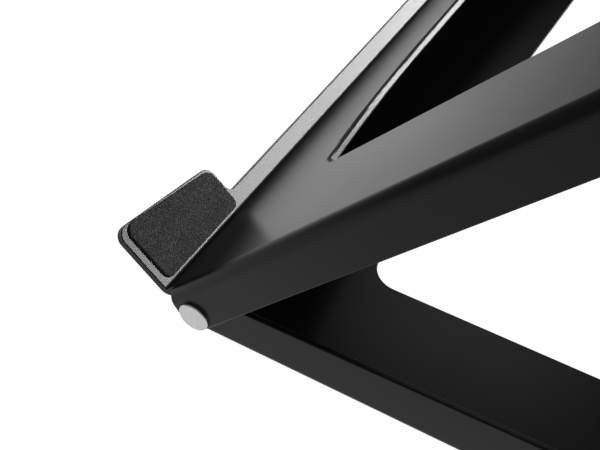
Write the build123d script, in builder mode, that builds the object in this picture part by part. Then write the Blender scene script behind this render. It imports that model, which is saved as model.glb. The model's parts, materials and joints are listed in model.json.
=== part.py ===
from build123d import *
from math import cos, radians, sin
import os

# Folding steel laptop stand. A support plate with a front lip is hinged at its front corners to
# a flat base tray. A prop leg hangs under the support, and its foot rod stands in notched racks
# on the base, which set the slope.
#
# +X is the user's right, +Y points to the rear, +Z is up. The origin is the middle of the stand's
# footprint at table level. All lengths are in millimetres and all angles in degrees.

os.makedirs("parts", exist_ok=True)

# ---------------------------------------------------------------- driving dimensions

stand_width = 260.0          # over the outer faces of the support's cheeks
slope = 47.5                 # the support's angle to the table as the stand is set
folded_slope = 1.5           # its angle when folded flat on the base

pin_height = 9.7             # hinge axis above the table
pin_y = -112.5               # hinge axis in front of the middle of the footprint
pin_head_radius = 4.0
pin_head_height = 0.85
pin_shank_radius = 2.5
running_clearance = 0.05

support_thickness = 2.2
support_top = 7.85           # deck face above the hinge axis, square to the deck
support_length = 240.0       # hinge axis to the rear edge, along the deck
cheek_bottom = -4.4          # lower edge of the cheeks, square to the deck
support_bend_radius = 3.3    # outside radius of the cheek bends
lip_bend_radius = 2.8        # outside radius of the tighter lip bend
support_frame_width = 35.4   # deck left beside the opening
support_opening_front = 21.1
support_opening_rear = 205.0
opening_sweep_start = 100.0  # the opening's ends curve back from here, in from the cheek
opening_sweep = 8.3          # and by this much at its sides
opening_corner_radius = 5.5

lip_front = -9.1             # lip's front face, along the deck from the hinge axis
lip_end_gap = 3.2            # the lip stops this far in from each cheek's outer face
lip_height = 12.7            # top of the low part of the lip, square to the deck
tab_height_outer = 26.4      # top of the tab at its outer end
tab_height_inner = 21.4      # top of the tab at its inner end
tab_inner_end = 36.6         # inner end of the tab, in from the cheek's outer face

base_thickness = 1.5
base_side_gap = 2.7          # base flange's outer face, in from the cheek's outer face
base_floor_bottom = -8.2     # underside of the base, from the hinge axis
base_front = -5.0
base_rear = 250.0
base_flange_front_height = 4.95
base_frame_width = 37.0      # from the cheek's outer face to the base opening
base_opening_front = 26.0
base_opening_rear = 215.0
base_corner_radius = 8.0     # corners of the base opening

prop_pivot_u = 120.0         # prop pivot and prop length are equal, so that the foot rod
prop_length = 120.0          # travels level with the hinge axis
prop_half_width = 103.5
prop_thickness = 1.5
prop_pin_radius = 2.0
prop_pin_head_radius = 3.0
prop_pin_head_height = 1.0
rod_radius = 2.5
sleeve_radius = 3.0

rack_inner = 107.0
rack_outer = 117.0
notch_pitch = 12.0
notches_in_front = 2         # notches in front of the one in use
notches_behind = 5
rack_land = 11.0             # flat end beyond the outer notches, where it is riveted
rack_rivet_radius = 1.5

pad_thickness = 1.6
foot_radius = 6.0
foot_height = 1.5

# ---------------------------------------------------------------- reference frames

half_width = stand_width / 2
support_under = support_top - support_thickness
lip_rear = lip_front + support_thickness
base_floor_top = base_floor_bottom + base_thickness
base_half_width = half_width - base_side_gap

# Deck frame: origin on the hinge axis, X across, Y up the slope, Z square to the deck.
deck_frame = Plane(
    origin=(0, pin_y, pin_height),
    x_dir=(1, 0, 0),
    z_dir=(0, -sin(radians(slope)), cos(radians(slope))),
)
# Base frame: origin on the hinge axis, parallel to the table.
base_frame = Plane(origin=(0, pin_y, pin_height))
# Prop frame: origin on the prop pivot, Y down the leg to its foot, Z square to the leg.
prop_frame = Plane(
    origin=deck_frame.origin + deck_frame.y_dir * prop_pivot_u,
    x_dir=(1, 0, 0),
    z_dir=(0, sin(radians(slope)), cos(radians(slope))),
)
rod_y = (prop_pivot_u + prop_length) * cos(radians(slope))

# Notch and rivet places along the racks, from the hinge axis.
rack_notches = [rod_y + n * notch_pitch for n in range(-notches_in_front, notches_behind + 1)]
rack_front = rack_notches[0] - notch_pitch / 2 - rack_land
rack_rear = rack_notches[-1] + notch_pitch / 2 + rack_land
rack_middle_x = (rack_inner + rack_outer) / 2
rack_rivet_points = [
    (x, y)
    for x in (-rack_middle_x, rack_middle_x)
    for y in (rack_front + rack_land / 2, rack_rear - rack_land / 2)
]

SIDES = {"right": 1, "left": -1}


def side_plane(frame, x):
    """Plane square to X at x: sketch X is the frame's Y, sketch Y is its Z, extrudes towards +X."""
    return Plane(origin=frame.origin + frame.x_dir * x, x_dir=frame.y_dir, z_dir=frame.x_dir)


def front_plane(frame, y):
    """Plane square to the frame's Y: sketch X is X, sketch Y is its Z, extrudes towards -Y."""
    return Plane(origin=frame.origin + frame.y_dir * y, x_dir=frame.x_dir, z_dir=-frame.y_dir)


def round_corner(sketch, point, radius):
    """Round the corner of the open sketch that is nearest to the point."""
    fillet(sketch.vertices().sort_by_distance(point)[0], radius=radius)


def save(piece, label):
    """Name a finished piece and write its STEP file."""
    piece.part.label = label
    export_step(piece.part, f"parts/{label}.step")


# ---------------------------------------------------------------- support plate

cheek_front_top = -3.3       # front edge of the cheek, level with the deck face
cheek_front_low = -6.2       # and the corner below it, before that is rounded about the pin
cheek_nose_radius = 5.0
cheek_rear_radius = 6.0
tab_corner_radius = 3.2
tab_root_radius = 2.0

lip_edge_round = 0.25        # edges that are tumbled smooth
opening_edge_round = 0.8     # the opening's upper edge is softer to the hand
cut_edge_round = 0.4         # edges that are only deburred
lip_foot_rear = support_opening_front / 2


def is_lip_edge(edge):
    """True for the cut edges of the lip, not where it bends or joins the deck."""
    place = deck_frame.to_local_coords(edge.center())
    bend_line = abs(place.X) < 1.0 and place.Z < lip_height - 1.0
    return not bend_line and place.Y < lip_foot_rear - 0.1


def is_cheek_edge(edge):
    """True for the cut edges of the deck and cheeks, not for the long lines where they bend."""
    place = deck_frame.to_local_coords(edge.center())
    bend_line = edge.length > support_length / 2 and abs(place.X) > 1.0 and place.Z > 0
    return not bend_line


with BuildPart() as front_lip:
    # Lip turned up from the front of the deck, first as high as the tabs.
    with BuildSketch(side_plane(deck_frame, -half_width + lip_end_gap)) as lip_bend:
        with BuildLine():
            Polyline(
                (lip_front, support_under),
                (lip_foot_rear, support_under),
                (lip_foot_rear, support_top),
                (lip_rear, support_top),
                (lip_rear, tab_height_outer),
                (lip_front, tab_height_outer),
                close=True,
            )
        make_face()
        round_corner(lip_bend, (lip_front, support_under), lip_bend_radius)
        round_corner(lip_bend, (lip_rear, support_top), lip_bend_radius - support_thickness)
    extrude(amount=2 * (half_width - lip_end_gap))
    # Cut the lip down between the tabs and slope the tabs' tops.
    with BuildSketch(front_plane(deck_frame, lip_front + 20.0)) as lip_cut:
        with BuildLine():
            Polyline(
                (-half_width, tab_height_outer + 5),
                (-half_width, support_top + 5),
                (-half_width + lip_end_gap, support_top + 5),
                (-half_width + lip_end_gap, tab_height_outer),
                (-half_width + tab_inner_end, tab_height_inner),
                (-half_width + tab_inner_end, lip_height),
                (half_width - tab_inner_end, lip_height),
                (half_width - tab_inner_end, tab_height_inner),
                (half_width - lip_end_gap, tab_height_outer),
                (half_width - lip_end_gap, support_top + 5),
                (half_width, support_top + 5),
                (half_width, tab_height_outer + 5),
                close=True,
            )
        make_face()
        for side in SIDES.values():
            tab_inner_x = side * (half_width - tab_inner_end)
            tab_outer_x = side * (half_width - lip_end_gap)
            round_corner(lip_cut, (tab_inner_x, lip_height), tab_root_radius)
            round_corner(lip_cut, (tab_inner_x, tab_height_inner), tab_corner_radius)
            round_corner(lip_cut, (tab_outer_x, tab_height_outer), tab_corner_radius)
    extrude(amount=40.0, mode=Mode.SUBTRACT)
    fillet(front_lip.edges().filter_by(is_lip_edge), radius=lip_edge_round)

with BuildPart() as support_plate:
    # Outline of both cheeks seen from the side, carried right across.
    with BuildSketch(side_plane(deck_frame, -half_width)) as cheek_outline:
        with BuildLine():
            Polyline(
                (cheek_front_top, support_top),
                (cheek_front_low, cheek_bottom),
                (support_length, cheek_bottom),
                (support_length, support_top),
                close=True,
            )
        make_face()
        round_corner(cheek_outline, (cheek_front_low, cheek_bottom), cheek_nose_radius)
        round_corner(cheek_outline, (support_length, cheek_bottom), cheek_rear_radius)
    extrude(amount=stand_width)
    # Keep only the bent sheet: a deck with a cheek turned down at each side.
    with BuildSketch(front_plane(deck_frame, support_length)) as channel:
        with BuildLine():
            Polyline(
                (-half_width, cheek_bottom),
                (-half_width + support_thickness, cheek_bottom),
                (-half_width + support_thickness, support_under),
                (half_width - support_thickness, support_under),
                (half_width - support_thickness, cheek_bottom),
                (half_width, cheek_bottom),
                (half_width, support_top),
                (-half_width, support_top),
                close=True,
            )
        make_face()
        for side in SIDES.values():
            inner_x = side * (half_width - support_thickness)
            round_corner(channel, (side * half_width, support_top), support_bend_radius)
            round_corner(
                channel, (inner_x, support_under), support_bend_radius - support_thickness
            )
    extrude(amount=support_length - lip_front, mode=Mode.INTERSECT)
    fillet(support_plate.edges().filter_by(is_cheek_edge), radius=cut_edge_round)
    add(front_lip.part)
    # Large opening. Its front and rear edges curve back a little towards the side corners.
    with BuildSketch(deck_frame.offset(support_top + 1)) as opening:
        side_x = half_width - support_frame_width
        sweep_x = half_width - opening_sweep_start
        side_front = support_opening_front + opening_sweep
        side_rear = support_opening_rear - opening_sweep
        with BuildLine():
            Line((-sweep_x, support_opening_front), (sweep_x, support_opening_front))
            TangentArc((sweep_x, support_opening_front), (side_x, side_front), tangent=(1, 0))
            Line((side_x, side_front), (side_x, side_rear))
            TangentArc((sweep_x, support_opening_rear), (side_x, side_rear), tangent=(1, 0))
            Line((sweep_x, support_opening_rear), (-sweep_x, support_opening_rear))
            TangentArc((-sweep_x, support_opening_rear), (-side_x, side_rear), tangent=(-1, 0))
            Line((-side_x, side_rear), (-side_x, side_front))
            TangentArc((-sweep_x, support_opening_front), (-side_x, side_front), tangent=(-1, 0))
        make_face()
        for corner_x in (-side_x, side_x):
            for corner_y in (side_front, side_rear):
                round_corner(opening, (corner_x, corner_y), opening_corner_radius)
    extrude(amount=-(support_thickness + 2), mode=Mode.SUBTRACT)
    for skin, edge_round in ((support_top, opening_edge_round), (support_under, cut_edge_round)):
        skin_point = deck_frame.from_local_coords((0, support_opening_rear + 10, skin))
        deck_skin = support_plate.faces().sort_by_distance(skin_point)[0]
        fillet(deck_skin.inner_wires()[0].edges(), radius=edge_round)
    # Holes for the hinge pins.
    with BuildSketch(side_plane(deck_frame, -half_width - 1)):
        Circle(pin_shank_radius + running_clearance)
    extrude(amount=stand_width + 2, mode=Mode.SUBTRACT)

save(support_plate, "support_plate")

# ---------------------------------------------------------------- base tray

base_bend_radius = 2.0
base_rear_flange_height = base_flange_front_height + base_rear * sin(radians(folded_slope))


def is_tray_edge(edge):
    """True for the cut edges of the base tray, not for the long lines where it bends."""
    place = base_frame.to_local_coords(edge.center())
    bend_line = edge.length > base_rear / 2 and abs(place.X) > 1.0 and place.Z < 0
    return not bend_line


with BuildPart() as base_tray:
    # Side outline of both flanges, rounded about the hinge pin, carried right across.
    with BuildSketch(side_plane(base_frame, -base_half_width)) as flange_outline:
        with BuildLine():
            Polyline(
                (0, base_flange_front_height),
                (base_rear, base_rear_flange_height),
                (base_rear, base_floor_bottom),
                (base_front, base_floor_bottom),
                (base_front, 0),
            )
            RadiusArc((base_front, 0), (0, base_flange_front_height), 5.0)
        make_face()
        round_corner(flange_outline, (base_rear, base_rear_flange_height), cheek_rear_radius)
    extrude(amount=2 * base_half_width)
    # Keep only the bent sheet: a floor with a flange turned up at each side.
    with BuildSketch(front_plane(base_frame, base_rear + 1)) as tray:
        with BuildLine():
            Polyline(
                (-base_half_width, base_floor_bottom),
                (base_half_width, base_floor_bottom),
                (base_half_width, base_rear_flange_height + 1),
                (base_half_width - base_thickness, base_rear_flange_height + 1),
                (base_half_width - base_thickness, base_floor_top),
                (-base_half_width + base_thickness, base_floor_top),
                (-base_half_width + base_thickness, base_rear_flange_height + 1),
                (-base_half_width, base_rear_flange_height + 1),
                close=True,
            )
        make_face()
        for side in SIDES.values():
            inner_x = side * (base_half_width - base_thickness)
            round_corner(tray, (side * base_half_width, base_floor_bottom), base_bend_radius)
            round_corner(tray, (inner_x, base_floor_top), base_bend_radius - base_thickness)
    extrude(amount=base_rear - base_front + 2, mode=Mode.INTERSECT)
    fillet(base_tray.edges().filter_by(is_tray_edge), radius=cut_edge_round)
    # Large opening with rounded corners.
    base_opening_width = stand_width - 2 * base_frame_width
    with BuildSketch(base_frame.offset(base_floor_top + 1)):
        with Locations((0, (base_opening_rear + base_opening_front) / 2)):
            RectangleRounded(
                base_opening_width,
                base_opening_rear - base_opening_front,
                base_corner_radius,
            )
    extrude(amount=-(base_thickness + 2), mode=Mode.SUBTRACT)
    for skin in (base_floor_top, base_floor_bottom):
        skin_point = base_frame.from_local_coords((0, base_opening_rear + 10, skin))
        floor_skin = base_tray.faces().sort_by_distance(skin_point)[0]
        fillet(floor_skin.inner_wires()[0].edges(), radius=cut_edge_round)
    # Holes for the rivets of the racks.
    with BuildSketch(base_frame.offset(base_floor_top + 1)):
        with Locations(*rack_rivet_points):
            Circle(rack_rivet_radius + running_clearance)
    extrude(amount=-(base_thickness + 2), mode=Mode.SUBTRACT)
    # Holes for the hinge pins.
    with BuildSketch(side_plane(base_frame, -half_width)):
        Circle(pin_shank_radius + running_clearance)
    extrude(amount=stand_width, mode=Mode.SUBTRACT)

save(base_tray, "base_tray")

# ---------------------------------------------------------------- hinge hardware, one set a side

washer_thickness = 0.45      # fills the gap between cheek and flange but for a hair
washer_radius = 4.2
spring_washer_radius = 4.6
spring_washer_thickness = 0.5
spring_washer_rise = 0.4
nut_across_flats = 8.0
nut_height = 4.0
pin_tip_stand = 0.8          # pin end left standing past the nut
thread_clearance = 0.05

flange_inner_x = base_half_width - base_thickness
nut_outer_x = flange_inner_x - spring_washer_thickness - spring_washer_rise
nut_inner_x = nut_outer_x - nut_height
pin_tip_x = nut_inner_x - pin_tip_stand


def hinge_axis_plane(side, x):
    """Plane square to the hinge axis at x on one side, facing outwards."""
    return Plane(
        origin=base_frame.origin + Vector(side * x, 0, 0),
        x_dir=(0, 1, 0),
        z_dir=(side, 0, 0),
    )


for side_name, side in SIDES.items():
    with BuildPart() as hinge_pin:
        with BuildSketch(hinge_axis_plane(side, half_width + running_clearance)):
            Circle(pin_head_radius)
        extrude(amount=pin_head_height)
        fillet(hinge_pin.faces().sort_by(Axis.X)[-1 if side > 0 else 0].edges(), radius=0.35)
        with BuildSketch(hinge_axis_plane(side, half_width + running_clearance)):
            Circle(pin_shank_radius)
        extrude(amount=-(half_width + running_clearance - pin_tip_x))
        chamfer(hinge_pin.faces().sort_by(Axis.X)[0 if side > 0 else -1].edges(), length=0.4)
    save(hinge_pin, f"hinge_pin_{side_name}")

    with BuildPart() as hinge_washer:
        with BuildSketch(hinge_axis_plane(side, base_half_width)):
            Circle(washer_radius)
            Circle(pin_shank_radius + running_clearance, mode=Mode.SUBTRACT)
        extrude(amount=washer_thickness)
    save(hinge_washer, f"hinge_washer_{side_name}")

    with BuildPart() as spring_washer:
        with BuildSketch(Plane(origin=base_frame.origin, x_dir=(side, 0, 0), z_dir=(0, -side, 0))):
            with BuildLine():
                Polyline(
                    (flange_inner_x, pin_shank_radius + running_clearance),
                    (flange_inner_x - spring_washer_rise, spring_washer_radius),
                    (nut_outer_x, spring_washer_radius),
                    (nut_outer_x + spring_washer_rise, pin_shank_radius + running_clearance),
                    close=True,
                )
            make_face()
        revolve(axis=Axis(base_frame.origin, (1, 0, 0)))
    save(spring_washer, f"spring_washer_{side_name}")

    with BuildPart() as hinge_nut:
        with BuildSketch(hinge_axis_plane(side, nut_inner_x)):
            RegularPolygon(nut_across_flats / 2, 6, major_radius=False)
            Circle(pin_shank_radius + thread_clearance, mode=Mode.SUBTRACT)
        extrude(amount=nut_height)
    save(hinge_nut, f"hinge_nut_{side_name}")

# ---------------------------------------------------------------- foam pads on the tabs and deck

pad_corner_radius = 3.0
pad_root_radius = 2.0        # lower corners of the lip pads
lip_pad_bottom = 9.05        # square to the deck, from the hinge axis
lip_pad_top_outer = 26.0
lip_pad_top_inner = 20.9
lip_pad_outer_x = half_width - 4.8
lip_pad_inner_x = half_width - 35.2

deck_pad_width = 21.0
deck_pad_front = 176.0
deck_pad_rear = 226.0

for side_name, side in SIDES.items():
    with BuildPart() as lip_pad:
        with BuildSketch(front_plane(deck_frame, lip_rear + pad_thickness)) as pad_outline:
            with BuildLine():
                Polyline(
                    (side * lip_pad_outer_x, lip_pad_bottom),
                    (side * lip_pad_outer_x, lip_pad_top_outer),
                    (side * lip_pad_inner_x, lip_pad_top_inner),
                    (side * lip_pad_inner_x, lip_pad_bottom),
                    close=True,
                )
            make_face()
            for pad_x, pad_top in (
                (side * lip_pad_outer_x, lip_pad_top_outer),
                (side * lip_pad_inner_x, lip_pad_top_inner),
            ):
                round_corner(pad_outline, (pad_x, pad_top), pad_corner_radius)
                round_corner(pad_outline, (pad_x, lip_pad_bottom), pad_root_radius)
        extrude(amount=pad_thickness)
    save(lip_pad, f"lip_pad_{side_name}")

    with BuildPart() as deck_pad:
        with BuildSketch(deck_frame.offset(support_top)):
            deck_pad_x = half_width - support_frame_width / 2
            with Locations((side * deck_pad_x, (deck_pad_front + deck_pad_rear) / 2)):
                RectangleRounded(
                    deck_pad_width, deck_pad_rear - deck_pad_front, pad_corner_radius
                )
        extrude(amount=pad_thickness)
    save(deck_pad, f"deck_pad_{side_name}")

# ---------------------------------------------------------------- prop leg

prop_flange_height = 4.0     # half the depth of the leg's turned edges
prop_web_start = 11.0        # web runs between the eyes at the two ends
prop_web_end = 111.0
prop_bend_radius = 3.0
prop_opening_half_width = 78.0
prop_opening_start = 32.0
prop_opening_end = 92.0
prop_corner_radius = 12.0    # corners of the prop opening

with BuildPart() as prop_leg:
    # Side outline of the turned edges: a strip with a round eye at each end.
    with BuildSketch(side_plane(prop_frame, -prop_half_width)):
        with Locations((prop_length / 2, 0)):
            SlotCenterToCenter(prop_length, 2 * prop_flange_height)
    extrude(amount=2 * prop_half_width)
    # Keep the bent sheet: a web with an edge turned down at each side.
    with BuildSketch(front_plane(prop_frame, prop_length + 2 * prop_flange_height)) as leg:
        with BuildLine():
            Polyline(
                (-prop_half_width, -prop_flange_height),
                (-prop_half_width + prop_thickness, -prop_flange_height),
                (-prop_half_width + prop_thickness, prop_flange_height - prop_thickness),
                (prop_half_width - prop_thickness, prop_flange_height - prop_thickness),
                (prop_half_width - prop_thickness, -prop_flange_height),
                (prop_half_width, -prop_flange_height),
                (prop_half_width, prop_flange_height),
                (-prop_half_width, prop_flange_height),
                close=True,
            )
        make_face()
        for side in SIDES.values():
            inner_x = side * (prop_half_width - prop_thickness)
            inner_z = prop_flange_height - prop_thickness
            round_corner(leg, (side * prop_half_width, prop_flange_height), prop_bend_radius)
            round_corner(leg, (inner_x, inner_z), prop_bend_radius - prop_thickness)
    extrude(amount=prop_length + 4 * prop_flange_height, mode=Mode.INTERSECT)
    # The web stops short of both ends, and is open in the middle.
    with BuildSketch(prop_frame.offset(-prop_flange_height - 1)):
        web_width = 2 * (prop_half_width - prop_thickness)
        for start, end in ((-10.0, prop_web_start), (prop_web_end, prop_length + 10.0)):
            with Locations((0, (start + end) / 2)):
                Rectangle(web_width, end - start)
        with Locations((0, (prop_opening_start + prop_opening_end) / 2)):
            RectangleRounded(
                2 * prop_opening_half_width,
                prop_opening_end - prop_opening_start,
                prop_corner_radius,
            )
    extrude(amount=2 * prop_flange_height + 2, mode=Mode.SUBTRACT)
    # Eyes for the pivot pins and for the foot rod.
    with BuildSketch(side_plane(prop_frame, -prop_half_width - 1)):
        Circle(prop_pin_radius + running_clearance)
        with Locations((prop_length, 0)):
            Circle(rod_radius + running_clearance)
    extrude(amount=2 * prop_half_width + 2, mode=Mode.SUBTRACT)

save(prop_leg, "prop_leg")

# ---------------------------------------------------------------- foot rod and its sleeves

rod_end_x = 118.0
sleeve_inner_x = 106.0

with BuildPart() as foot_rod:
    with BuildSketch(side_plane(prop_frame, -rod_end_x)):
        with Locations((prop_length, 0)):
            Circle(rod_radius)
    extrude(amount=2 * rod_end_x)

save(foot_rod, "foot_rod")

for side_name, side in SIDES.items():
    with BuildPart() as rod_sleeve:
        with BuildSketch(side_plane(prop_frame, side * sleeve_inner_x)):
            with Locations((prop_length, 0)):
                Circle(sleeve_radius)
        extrude(amount=side * (rod_end_x + 1.0 - sleeve_inner_x))
        with BuildSketch(side_plane(prop_frame, side * sleeve_inner_x)):
            with Locations((prop_length, 0)):
                Circle(rod_radius + running_clearance)
        extrude(amount=side * (rod_end_x - sleeve_inner_x), mode=Mode.SUBTRACT)
    save(rod_sleeve, f"rod_sleeve_{side_name}")

# ---------------------------------------------------------------- prop lugs and pivot pins

lug_thickness = 2.0
lug_ear_x = prop_half_width + 0.5
lug_foot_outer_x = 122.0
lug_half_length = 12.0
lug_eye_radius = 4.5
lug_bend_radius = 3.0

for side_name, side in SIDES.items():
    lug_foot_under = support_under - lug_thickness
    with BuildPart() as prop_lug:
        # Bent strip: a foot against the underside of the deck and an ear turned down.
        with BuildSketch(front_plane(deck_frame, prop_pivot_u + lug_half_length)) as lug_bend:
            with BuildLine():
                Polyline(
                    (side * lug_ear_x, support_under),
                    (side * lug_foot_outer_x, support_under),
                    (side * lug_foot_outer_x, lug_foot_under),
                    (side * (lug_ear_x + lug_thickness), lug_foot_under),
                    (side * (lug_ear_x + lug_thickness), -lug_eye_radius),
                    (side * lug_ear_x, -lug_eye_radius),
                    close=True,
                )
            make_face()
            round_corner(lug_bend, (side * lug_ear_x, support_under), lug_bend_radius)
            round_corner(
                lug_bend,
                (side * (lug_ear_x + lug_thickness), lug_foot_under),
                lug_bend_radius - lug_thickness,
            )
        extrude(amount=2 * lug_half_length)
        # Side outline: full length at the foot, drawn in to a round eye about the pivot.
        with BuildSketch(side_plane(deck_frame, -half_width)):
            with Locations((prop_pivot_u, 0)):
                Circle(lug_eye_radius)
            with BuildLine():
                Polyline(
                    (prop_pivot_u - lug_half_length, support_under),
                    (prop_pivot_u - lug_half_length, lug_foot_under),
                    (prop_pivot_u - lug_eye_radius, 0),
                    (prop_pivot_u + lug_eye_radius, 0),
                    (prop_pivot_u + lug_half_length, lug_foot_under),
                    (prop_pivot_u + lug_half_length, support_under),
                    close=True,
                )
            make_face()
        extrude(amount=stand_width, mode=Mode.INTERSECT)
        with BuildSketch(side_plane(prop_frame, -half_width)):
            Circle(prop_pin_radius + running_clearance)
        extrude(amount=stand_width, mode=Mode.SUBTRACT)
    save(prop_lug, f"prop_lug_{side_name}")

    with BuildPart() as prop_pin:
        # Flat head outside the lug, shank through lug and leg, and a riveted end inside.
        head_x = lug_ear_x + lug_thickness
        rivet_x = prop_half_width - prop_thickness - 0.1
        with BuildSketch(side_plane(prop_frame, side * head_x)):
            Circle(prop_pin_head_radius)
        extrude(amount=side * prop_pin_head_height)
        with BuildSketch(side_plane(prop_frame, side * head_x)):
            Circle(prop_pin_radius)
        extrude(amount=-side * (head_x - rivet_x))
        with BuildSketch(side_plane(prop_frame, side * rivet_x)):
            Circle(prop_pin_head_radius - 0.4)
        extrude(amount=-side * prop_pin_head_height)
    save(prop_pin, f"prop_pin_{side_name}")

# ---------------------------------------------------------------- notched racks and their rivets

rack_tip = -3.3              # top of the teeth, just under the travelling sleeve
notch_depth = 2.0
notch_radius = 3.2
rack_land_top = -4.6
rack_rivet_head_radius = 2.5
rack_rivet_head_height = 0.5

for side_name, side in SIDES.items():
    with BuildPart() as rack:
        with BuildSketch(side_plane(base_frame, side * rack_inner)):
            with BuildLine():
                Polyline(
                    (rack_front, base_floor_top),
                    (rack_rear, base_floor_top),
                    (rack_rear, rack_land_top),
                    (rack_rear - rack_land, rack_land_top),
                    (rack_rear - rack_land, rack_tip),
                    (rack_front + rack_land, rack_tip),
                    (rack_front + rack_land, rack_land_top),
                    (rack_front, rack_land_top),
                    close=True,
                )
            make_face()
            with Locations(*[(y, rack_tip - notch_depth + notch_radius) for y in rack_notches]):
                Circle(notch_radius, mode=Mode.SUBTRACT)
        extrude(amount=side * (rack_outer - rack_inner))
        with BuildSketch(base_frame.offset(rack_land_top)):
            with Locations(*rack_rivet_points):
                Circle(rack_rivet_radius + running_clearance)
        extrude(amount=-5.0, mode=Mode.SUBTRACT)
    save(rack, f"rack_{side_name}")

with BuildPart() as rack_rivets:
    # Shank through rack and floor, with a low head at each end.
    with BuildSketch(base_frame.offset(base_floor_bottom)):
        with Locations(*rack_rivet_points):
            Circle(rack_rivet_radius)
    extrude(amount=rack_land_top - base_floor_bottom)
    for head_base in (rack_land_top, base_floor_bottom - rack_rivet_head_height):
        with BuildSketch(base_frame.offset(head_base)):
            with Locations(*rack_rivet_points):
                Circle(rack_rivet_head_radius)
        extrude(amount=rack_rivet_head_height)

save(rack_rivets, "rack_rivets")

# ---------------------------------------------------------------- rubber feet

foot_x = 110.0
foot_front_y = 9.0           # from the hinge axis
foot_rear_y = 243.5
foot_edge_round = 0.5

for end_name, foot_y in {"front": foot_front_y, "rear": foot_rear_y}.items():
    for side_name, side in SIDES.items():
        with BuildPart() as foot:
            with BuildSketch(base_frame.offset(base_floor_bottom)):
                with Locations((side * foot_x, foot_y)):
                    Circle(foot_radius)
            extrude(amount=-foot_height)
            fillet(foot.faces().sort_by(Axis.Z)[0].edges(), radius=foot_edge_round)
        save(foot, f"foot_{end_name}_{side_name}")
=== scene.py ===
import json
from math import pi

import bmesh
import bpy
from mathutils import Matrix, Vector


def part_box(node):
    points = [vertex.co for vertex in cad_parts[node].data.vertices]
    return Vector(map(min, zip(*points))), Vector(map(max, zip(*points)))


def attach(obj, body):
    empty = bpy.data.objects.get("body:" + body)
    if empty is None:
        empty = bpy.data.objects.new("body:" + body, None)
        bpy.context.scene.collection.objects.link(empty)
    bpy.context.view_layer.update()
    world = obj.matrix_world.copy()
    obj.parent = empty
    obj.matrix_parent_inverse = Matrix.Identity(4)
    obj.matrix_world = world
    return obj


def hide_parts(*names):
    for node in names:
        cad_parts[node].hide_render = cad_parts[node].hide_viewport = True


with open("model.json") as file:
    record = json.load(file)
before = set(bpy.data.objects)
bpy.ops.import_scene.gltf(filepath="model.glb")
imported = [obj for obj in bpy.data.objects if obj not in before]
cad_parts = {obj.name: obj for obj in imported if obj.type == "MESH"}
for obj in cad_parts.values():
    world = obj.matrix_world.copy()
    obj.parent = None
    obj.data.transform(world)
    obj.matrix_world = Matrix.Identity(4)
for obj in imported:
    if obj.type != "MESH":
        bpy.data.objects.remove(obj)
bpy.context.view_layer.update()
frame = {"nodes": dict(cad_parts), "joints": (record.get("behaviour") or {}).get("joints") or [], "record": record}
record = frame["record"]
NODES = frame["nodes"]

MM = 0.001


# ------------------------------------------------------------------ places taken from the frame

joint_at = {joint["name"]: Vector(joint["pos_m"]) for joint in frame["joints"]}
hinge_axis = joint_at["support_tilt"]
right_cheek_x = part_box("support_plate")[1].x


# ------------------------------------------------------------------ camera

CAMERA_BACK = Vector((0.6020, 0.3602, 0.7126))
CAMERA_FROM_PIN = Vector((131.6, 107.6, 201.3)) * MM
LENS_MM = 66.68
SENSOR_MM = 36.0


def make_camera():
    """Camera close above the right front corner, looking forwards and down across the stand."""
    back = CAMERA_BACK.normalized()
    right = Vector((0, 0, 1)).cross(back).normalized()
    up = back.cross(right)
    data = bpy.data.cameras.new("camera")
    data.lens = LENS_MM
    data.sensor_width = SENSOR_MM
    data.clip_start = 0.01
    camera = bpy.data.objects.new("camera", data)
    place = Matrix((right, up, back)).transposed().to_4x4()
    place.translation = Vector((right_cheek_x, hinge_axis.y, hinge_axis.z)) + CAMERA_FROM_PIN
    camera.matrix_world = place
    bpy.context.scene.collection.objects.link(camera)
    bpy.context.scene.camera = camera


# ------------------------------------------------------------------ node helpers

def new_material(name):
    """An empty node material with a Principled shader; returns material, nodes, links, shader."""
    material = bpy.data.materials.new(name)
    material.use_nodes = True
    tree = material.node_tree
    shader = tree.nodes["Principled BSDF"]
    return material, tree.nodes, tree.links, shader


def add_coordinates(nodes):
    """Object coordinates, in metres in the shared frame."""
    return nodes.new("ShaderNodeTexCoord").outputs["Object"]


def add_noise(nodes, links, vector, cell_mm, detail=2.0, roughness=0.5):
    """Noise whose features are about cell_mm across; returns its value output."""
    noise = nodes.new("ShaderNodeTexNoise")
    noise.inputs["Scale"].default_value = 1.0 / (cell_mm * MM)
    noise.inputs["Detail"].default_value = detail
    noise.inputs["Roughness"].default_value = roughness
    links.new(vector, noise.inputs["Vector"])
    return noise.outputs["Fac"]


def add_range(nodes, links, value, low, high, from_low=0.0, from_high=1.0):
    """Map a value from one range to another."""
    mapping = nodes.new("ShaderNodeMapRange")
    mapping.inputs["From Min"].default_value = from_low
    mapping.inputs["From Max"].default_value = from_high
    mapping.inputs["To Min"].default_value = low
    mapping.inputs["To Max"].default_value = high
    links.new(value, mapping.inputs["Value"])
    return mapping.outputs["Result"]


def add_ramp(nodes, links, value, stops):
    """Colour ramp from (position, grey or colour) stops."""
    ramp = nodes.new("ShaderNodeValToRGB")
    elements = ramp.color_ramp.elements
    while len(elements) < len(stops):
        elements.new(0.5)
    for element, (position, colour) in zip(elements, stops):
        element.position = position
        if isinstance(colour, (int, float)):
            colour = (colour, colour, colour)
        element.color = (*colour, 1.0)
    links.new(value, ramp.inputs["Fac"])
    return ramp.outputs["Color"]


def add_bump(nodes, links, height, depth_mm, normal=None):
    """Bump of the given real depth; a second one can be chained through normal."""
    bump = nodes.new("ShaderNodeBump")
    bump.inputs["Distance"].default_value = depth_mm * MM
    bump.inputs["Strength"].default_value = 1.0
    links.new(height, bump.inputs["Height"])
    if normal is not None:
        links.new(normal, bump.inputs["Normal"])
    return bump.outputs["Normal"]


# ------------------------------------------------------------------ materials

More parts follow.
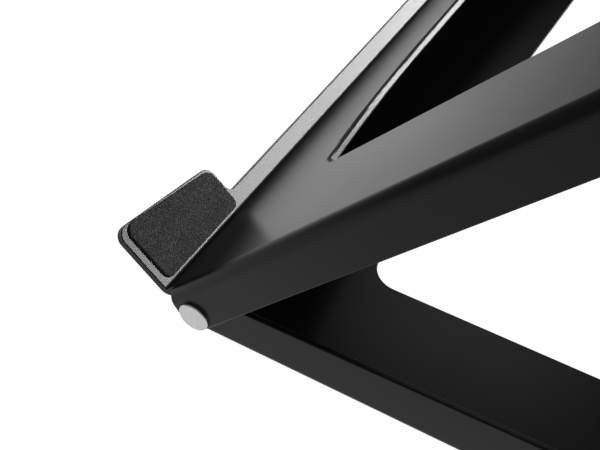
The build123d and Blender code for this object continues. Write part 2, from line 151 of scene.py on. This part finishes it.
def make_black_paint():
    """Satin black powder coat: a smooth film with faint orange peel and fine speckle."""
    material, nodes, links, shader = new_material("black_paint")
    where = add_coordinates(nodes)
    peel = add_noise(nodes, links, where, 2.2, detail=1.5)
    grain = add_noise(nodes, links, where, 0.28, detail=2.0)
    cloud = add_noise(nodes, links, where, 45.0, detail=3.0)
    colour = add_ramp(nodes, links, grain, [(0.3, 0.0035), (0.7, 0.0055)])
    links.new(colour, shader.inputs["Base Color"])
    links.new(add_range(nodes, links, cloud, 0.27, 0.31, 0.3, 0.7), shader.inputs["Roughness"])
    bent = add_bump(nodes, links, peel, 0.002)
    bent = add_bump(nodes, links, grain, 0.0004, normal=bent)
    links.new(bent, shader.inputs["Normal"])
    shader.inputs["IOR"].default_value = 1.21
    return material


def make_foam():
    """Fine-celled charcoal foam: dark cells with lighter walls, quite matt."""
    material, nodes, links, shader = new_material("foam")
    where = add_coordinates(nodes)
    cells = add_noise(nodes, links, where, 0.26, detail=3.0, roughness=0.8)
    patches = add_noise(nodes, links, where, 6.0, detail=3.0)
    colour = add_ramp(nodes, links, cells, [(0.38, 0.0004), (0.5, 0.003), (0.60, 0.031)])
    tint = add_ramp(nodes, links, patches, [(0.25, 0.75), (0.75, 1.15)])
    mix = nodes.new("ShaderNodeMix")
    mix.data_type = "RGBA"
    mix.blend_type = "MULTIPLY"
    mix.inputs["Factor"].default_value = 1.0
    links.new(colour, mix.inputs["A"])
    links.new(tint, mix.inputs["B"])
    links.new(mix.outputs["Result"], shader.inputs["Base Color"])
    shader.inputs["Roughness"].default_value = 0.95
    shader.inputs["Specular IOR Level"].default_value = 0.12
    links.new(add_bump(nodes, links, cells, 0.12), shader.inputs["Normal"])
    return material


def make_chrome():
    """Polished plated steel with the faint haze and fine marks of a turned, tumbled pin."""
    material, nodes, links, shader = new_material("chrome")
    where = add_coordinates(nodes)
    haze = add_noise(nodes, links, where, 1.2, detail=4.0)
    marks = add_noise(nodes, links, where, 0.15, detail=2.0)
    shader.inputs["Metallic"].default_value = 1.0
    links.new(add_ramp(nodes, links, haze, [(0.3, 0.44), (0.7, 0.52)]), shader.inputs["Base Color"])
    links.new(add_range(nodes, links, haze, 0.16, 0.30), shader.inputs["Roughness"])
    links.new(add_bump(nodes, links, marks, 0.002), shader.inputs["Normal"])
    return material


def make_zinc():
    """Bright zinc plate, slightly blue, with a patchy sheen."""
    material, nodes, links, shader = new_material("zinc_steel")
    where = add_coordinates(nodes)
    patch = add_noise(nodes, links, where, 3.0, detail=4.0)
    fine = add_noise(nodes, links, where, 0.2, detail=2.0)
    shader.inputs["Metallic"].default_value = 1.0
    colour = add_ramp(nodes, links, patch, [(0.3, (0.50, 0.52, 0.55)), (0.7, (0.63, 0.65, 0.67))])
    links.new(colour, shader.inputs["Base Color"])
    links.new(add_range(nodes, links, patch, 0.26, 0.42), shader.inputs["Roughness"])
    links.new(add_bump(nodes, links, fine, 0.003), shader.inputs["Normal"])
    return material


def make_plastic(name, grey, roughness, grain_mm, depth_mm):
    """Moulded plastic or rubber: one dark colour with a fine moulded texture."""
    material, nodes, links, shader = new_material(name)
    where = add_coordinates(nodes)
    grain = add_noise(nodes, links, where, grain_mm, detail=3.0)
    cloud = add_noise(nodes, links, where, 8.0, detail=2.0)
    colour = add_ramp(nodes, links, cloud, [(0.3, grey * 0.8), (0.7, grey * 1.2)])
    links.new(colour, shader.inputs["Base Color"])
    wear = add_range(nodes, links, cloud, roughness - 0.06, roughness + 0.06)
    links.new(wear, shader.inputs["Roughness"])
    links.new(add_bump(nodes, links, grain, depth_mm), shader.inputs["Normal"])
    return material


MATERIALS = {
    "black_paint": make_black_paint(),
    "foam": make_foam(),
    "chrome": make_chrome(),
    "zinc_steel": make_zinc(),
    "nylon": make_plastic("nylon", 0.03, 0.45, 0.3, 0.004),
    "rubber": make_plastic("rubber", 0.022, 0.75, 0.25, 0.02),
    "rack_plastic": make_plastic("rack_plastic", 0.028, 0.5, 0.4, 0.01),
}


def paint_cad_nodes():
    """Give every CAD node the detailed material of its slot."""
    for subpart in record["subparts"]:
        for slot in NODES[subpart["node"]].material_slots:
            slot.material = MATERIALS[subpart["material_slot"]]


# ------------------------------------------------------------------ foam pads

PAD_VOXEL = 0.3 * MM
PAD_SMOOTHING = 6
PAD_RIPPLE = 0.06 * MM
PAD_RIPPLE_CELL = 4.0 * MM


def apply_modifiers(piece):
    """Bake a piece's modifiers into its mesh."""
    bpy.context.view_layer.update()
    graph = bpy.context.evaluated_depsgraph_get()
    shaped = bpy.data.meshes.new_from_object(piece.evaluated_get(graph))
    old = piece.data
    piece.modifiers.clear()
    piece.data = shaped
    bpy.data.meshes.remove(old)


def make_pad(node):
    """Die-cut foam pad on a CAD pad's outline, with soft edges and a faintly uneven face."""
    mesh = NODES[node].data.copy()
    pad = bpy.data.objects.new(f"foam_{node}", mesh)
    bpy.context.scene.collection.objects.link(pad)
    remesh = pad.modifiers.new("cells", "REMESH")
    remesh.mode = "VOXEL"
    remesh.voxel_size = PAD_VOXEL
    smooth = pad.modifiers.new("soft_edges", "SMOOTH")
    smooth.iterations = PAD_SMOOTHING
    texture = bpy.data.textures.new(f"ripple_{node}", "CLOUDS")
    texture.noise_scale = PAD_RIPPLE_CELL
    ripple = pad.modifiers.new("ripple", "DISPLACE")
    ripple.texture = texture
    ripple.strength = PAD_RIPPLE
    ripple.mid_level = 0.5
    apply_modifiers(pad)
    pad.data.materials.clear()
    pad.data.materials.append(MATERIALS["foam"])
    pad.data.shade_smooth()
    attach(pad, "support")
    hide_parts(node)
    return pad


# ------------------------------------------------------------------ studio

FLOOR_SIZE = 6.0
# The table glows although it is no lamp: its emission paints a pool of light round the stand and keeps the stand's
# shadows faint.
POOL_CENTRE = Vector((0.12, -0.03, 0))
PAINTED_POOL_GLOW = 1.0
FAR_GLOW = 0.12              # what the table gives off beyond the pool
POOL_STRETCH = 1.5           # the painted pool of light on the table is wider than it is deep
POOL_INNER = 0.27            # the pool is even out to here, front to back
POOL_OUTER = 0.46            # and has faded here
PAINTED_SPOT_CENTRE = Vector((0.0, -0.18, 0))
PAINTED_SPOT_RADIUS = 0.15           # a painted patch of light in front of the stand, brighter than the pool, which the deck reflects
PAINTED_SPOT_GLOW = 0.45
ROOM_LOW = 0.26              # grey of the room at the sides and below
ROOM_HIGH = 0.34             # and further up


def add_painted_light_pool(nodes, links, centre, stretch, inner, outer, high, low):
    """Painted brightness that falls smoothly from high to low with distance from a point on the table."""
    offset = nodes.new("ShaderNodeVectorMath")
    offset.operation = "SUBTRACT"
    offset.inputs[1].default_value = (centre.x, centre.y, 0.0)
    links.new(add_coordinates(nodes), offset.inputs[0])
    squeeze = nodes.new("ShaderNodeVectorMath")
    squeeze.operation = "MULTIPLY"
    squeeze.inputs[1].default_value = (1.0 / stretch, 1.0, 0.0)
    links.new(offset.outputs["Vector"], squeeze.inputs[0])
    length = nodes.new("ShaderNodeVectorMath")
    length.operation = "LENGTH"
    links.new(squeeze.outputs["Vector"], length.inputs[0])
    fade = nodes.new("ShaderNodeMapRange")
    fade.interpolation_type = "SMOOTHSTEP"
    fade.inputs["From Min"].default_value = inner
    fade.inputs["From Max"].default_value = outer
    fade.inputs["To Min"].default_value = high
    fade.inputs["To Max"].default_value = low
    links.new(length.outputs["Value"], fade.inputs["Value"])
    return fade.outputs["Result"]


def make_floor():
    """Pale table that is no lamp but glows, painting a soft pool of light round the stand that fades to grey
    further out.
    """
    mesh = bpy.data.meshes.new("floor")
    work = bmesh.new()
    bmesh.ops.create_grid(work, x_segments=1, y_segments=1, size=FLOOR_SIZE / 2)
    work.to_mesh(mesh)
    work.free()
    floor = bpy.data.objects.new("floor", mesh)
    bpy.context.scene.collection.objects.link(floor)
    material, nodes, links, shader = new_material("floor")
    pool = add_painted_light_pool(
        nodes, links, POOL_CENTRE, POOL_STRETCH, POOL_INNER, POOL_OUTER, PAINTED_POOL_GLOW, FAR_GLOW
    )
    painted_spot = add_painted_light_pool(nodes, links, PAINTED_SPOT_CENTRE, 1.0, 0.0, PAINTED_SPOT_RADIUS, PAINTED_SPOT_GLOW, 0.0)
    # painted light: the table's glow is the painted pool plus the painted brighter patch
    light = nodes.new("ShaderNodeMath")
    light.operation = "ADD"
    links.new(pool, light.inputs[0])
    links.new(painted_spot, light.inputs[1])
    links.new(light.outputs["Value"], shader.inputs["Emission Strength"])
    shader.inputs["Emission Color"].default_value = (1.0, 1.0, 1.0, 1.0)
    shader.inputs["Base Color"].default_value = (0.10, 0.10, 0.10, 1.0)
    shader.inputs["Roughness"].default_value = 0.9
    shader.inputs["Specular IOR Level"].default_value = 0.0
    mesh.materials.append(material)


def make_softbox(name, direction, distance, size, radiance, target, casts_shadow=True):
    """Rectangular area light of size (width, height) that faces the target from a direction."""
    width, height = size
    data = bpy.data.lights.new(name, "AREA")
    data.shape = "RECTANGLE"
    data.size = width
    data.size_y = height
    data.energy = radiance * width * height * pi
    light = bpy.data.objects.new(name, data)
    away = Vector(direction).normalized()
    light.location = target + away * distance
    light.rotation_euler = away.to_track_quat("Z", "Y").to_euler()
    light.visible_camera = False
    data.use_shadow = casts_shadow
    data.cycles.use_multiple_importance_sampling = casts_shadow
    bpy.context.scene.collection.objects.link(light)
    return light


def light_only(light, pieces):
    """Let a light fall on the given pieces and nothing else."""
    receivers = bpy.data.collections.new(f"{light.name}_receivers")
    for piece in pieces:
        receivers.objects.link(piece)
    light.light_linking.receiver_collection = receivers


def make_world():
    """Evenly grey room, a little lighter towards the ceiling."""
    world = bpy.data.worlds.new("studio")
    world.use_nodes = True
    nodes, links = world.node_tree.nodes, world.node_tree.links
    background = nodes["Background"]
    direction = nodes.new("ShaderNodeTexCoord").outputs["Generated"]
    split = nodes.new("ShaderNodeSeparateXYZ")
    links.new(direction, split.inputs["Vector"])
    ramp = nodes.new("ShaderNodeValToRGB")
    ramp.color_ramp.elements[0].position = 0.0
    ramp.color_ramp.elements[0].color = (ROOM_LOW, ROOM_LOW, ROOM_LOW, 1.0)
    ramp.color_ramp.elements[1].position = 0.6
    ramp.color_ramp.elements[1].color = (ROOM_HIGH, ROOM_HIGH, ROOM_HIGH, 1.0)
    links.new(split.outputs["Z"], ramp.inputs["Fac"])
    links.new(ramp.outputs["Color"], background.inputs["Color"])
    bpy.context.scene.world = world


def light_studio(lip_pads):
    """A low softbox behind on the left that rakes the lip and the opening's front wall, and one
    above on the left that the base floor reflects. The first lies just below the plane of the
    deck, which would block it, so it casts no shadow and falls only on what it has to light."""
    target = Vector((right_cheek_x * 0.6, hinge_axis.y, hinge_axis.z))
    rake = make_softbox(
        "rake", (-0.69, 0.59, 0.41), 1.2, (0.95, 0.45), 52.0, target, casts_shadow=False
    )
    light_only(rake, [NODES["support_plate"], *lip_pads])
    make_softbox("overhead", (-0.66, -0.16, 0.74), 1.2, (0.3, 0.3), 3.0, target)


# ------------------------------------------------------------------ build

make_camera()
paint_cad_nodes()
lip_pads = [make_pad("lip_pad_right"), make_pad("lip_pad_left")]
for deck_pad in ("deck_pad_right", "deck_pad_left"):
    make_pad(deck_pad)
make_floor()
make_world()
light_studio(lip_pads)

bpy.context.scene.view_settings.view_transform = "Standard"
